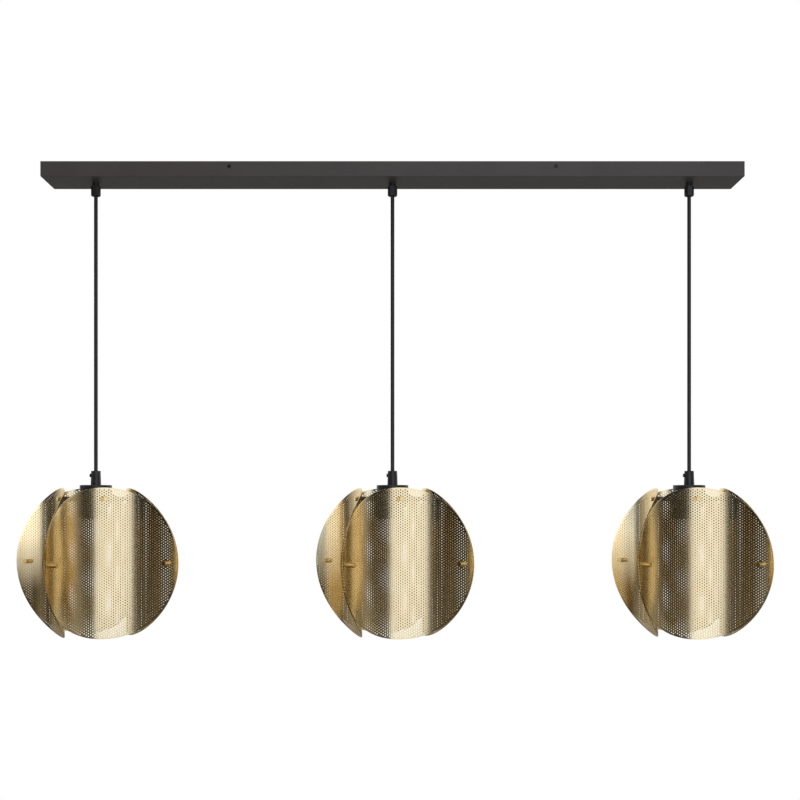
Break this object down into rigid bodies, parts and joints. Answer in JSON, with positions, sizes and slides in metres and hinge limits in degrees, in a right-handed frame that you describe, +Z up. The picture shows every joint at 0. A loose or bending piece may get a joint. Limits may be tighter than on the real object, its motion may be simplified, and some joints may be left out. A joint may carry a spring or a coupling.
{
  "type": "linear island pendant",
  "caption": "Linear island pendant: long flat ceiling canopy with hanging cords, each carrying a globe of bent perforated brass discs round a lampholder.",
  "frame": {"origin": "centre of the canopy's open top, on the ceiling plane, midway between the ceiling slots", "axes": "+X along the canopy, +Y to the back, +Z up to the ceiling"},
  "size_m": [1.2599, 0.2936, 0.7892],
  "materials": {
    "canopy_paint": "dark anthracite powder coat, fine satin texture",
    "zinc_steel": "zinc-plated sheet steel",
    "black_screw": "blackened steel",
    "black_plastic": "moulded black plastic",
    "black_metal": "black lacquered metal",
    "cord_sheath": "smooth round black cable sheath with a faint sheen",
    "core_insulation": "insulated cores in brown, blue and green-yellow",
    "terminal_plastic": "pale moulded terminal block",
    "shade_brass": "perforated brass sheet, brushed satin, pale gold",
    "fitting_brass": "turned brass, polished",
    "contact_brass": "plain contact brass"
  },
  "bodies": {
    "canopy": {"canopy_shell": "canopy_paint", "left_bracket": "zinc_steel", "right_bracket": "zinc_steel", "canopy_screws": "black_screw", "terminal_block": "terminal_plastic", "terminal_screws": "zinc_steel", "earth_terminal": "fitting_brass", "gland_nuts": "black_plastic", "left_gland": "black_plastic", "left_leads": "core_insulation", "centre_gland": "black_plastic", "centre_leads": "core_insulation", "right_gland": "black_plastic", "right_leads": "core_insulation"},
    "left_cord": {"left_cord": "cord_sheath"},
    "left_holder": {"left_cord_grip": "black_metal", "left_grip_screw": "black_screw", "left_holder_cap": "black_metal", "left_lampholder": "black_plastic", "left_lamp_contacts": "contact_brass", "left_shade_ring": "black_plastic"},
    "left_shade": {"left_spider": "black_metal", "left_front_disc": "shade_brass", "left_right_disc": "shade_brass", "left_back_disc": "shade_brass", "left_left_disc": "shade_brass", "left_arm_screws": "fitting_brass", "left_corner_fasteners": "fitting_brass"},
    "centre_cord": {"centre_cord": "cord_sheath"},
    "centre_holder": {"centre_cord_grip": "black_metal", "centre_grip_screw": "black_screw", "centre_holder_cap": "black_metal", "centre_lampholder": "black_plastic", "centre_lamp_contacts": "contact_brass", "centre_shade_ring": "black_plastic"},
    "centre_shade": {"centre_spider": "black_metal", "centre_front_disc": "shade_brass", "centre_right_disc": "shade_brass", "centre_back_disc": "shade_brass", "centre_left_disc": "shade_brass", "centre_arm_screws": "fitting_brass", "centre_corner_fasteners": "fitting_brass"},
    "right_cord": {"right_cord": "cord_sheath"},
    "right_holder": {"right_cord_grip": "black_metal", "right_grip_screw": "black_screw", "right_holder_cap": "black_metal", "right_lampholder": "black_plastic", "right_lamp_contacts": "contact_brass", "right_shade_ring": "black_plastic"},
    "right_shade": {"right_spider": "black_metal", "right_front_disc": "shade_brass", "right_right_disc": "shade_brass", "right_back_disc": "shade_brass", "right_left_disc": "shade_brass", "right_arm_screws": "fitting_brass", "right_corner_fasteners": "fitting_brass"}
  },
  "joints": [
    {"name": "left_swing", "type": "hinge", "parent": "canopy", "child": "left_cord", "pos_m": [-0.5, 0, -0.048], "axis": [1, 0, 0], "range_deg": [-15, 15]},
    {"name": "left_tilt", "type": "hinge", "parent": "left_cord", "child": "left_holder", "pos_m": [-0.5, 0, -0.5105], "axis": [0, 1, 0], "range_deg": [-10, 10]},
    {"name": "left_shade_turn", "type": "hinge", "parent": "left_holder", "child": "left_shade", "pos_m": [-0.5, 0, -0.5572], "axis": [0, 0, 1], "continuous": true},
    {"name": "centre_swing", "type": "hinge", "parent": "canopy", "child": "centre_cord", "pos_m": [0, 0, -0.048], "axis": [1, 0, 0], "range_deg": [-15, 15]},
    {"name": "centre_tilt", "type": "hinge", "parent": "centre_cord", "child": "centre_holder", "pos_m": [0, 0, -0.5105], "axis": [0, 1, 0], "range_deg": [-10, 10]},
    {"name": "centre_shade_turn", "type": "hinge", "parent": "centre_holder", "child": "centre_shade", "pos_m": [0, 0, -0.5572], "axis": [0, 0, 1], "continuous": true},
    {"name": "right_swing", "type": "hinge", "parent": "canopy", "child": "right_cord", "pos_m": [0.5, 0, -0.048], "axis": [1, 0, 0], "range_deg": [-15, 15]},
    {"name": "right_tilt", "type": "hinge", "parent": "right_cord", "child": "right_holder", "pos_m": [0.5, 0, -0.5105], "axis": [0, 1, 0], "range_deg": [-10, 10]},
    {"name": "right_shade_turn", "type": "hinge", "parent": "right_holder", "child": "right_shade", "pos_m": [0.5, 0, -0.5572], "axis": [0, 0, 1], "continuous": true}
  ]
}
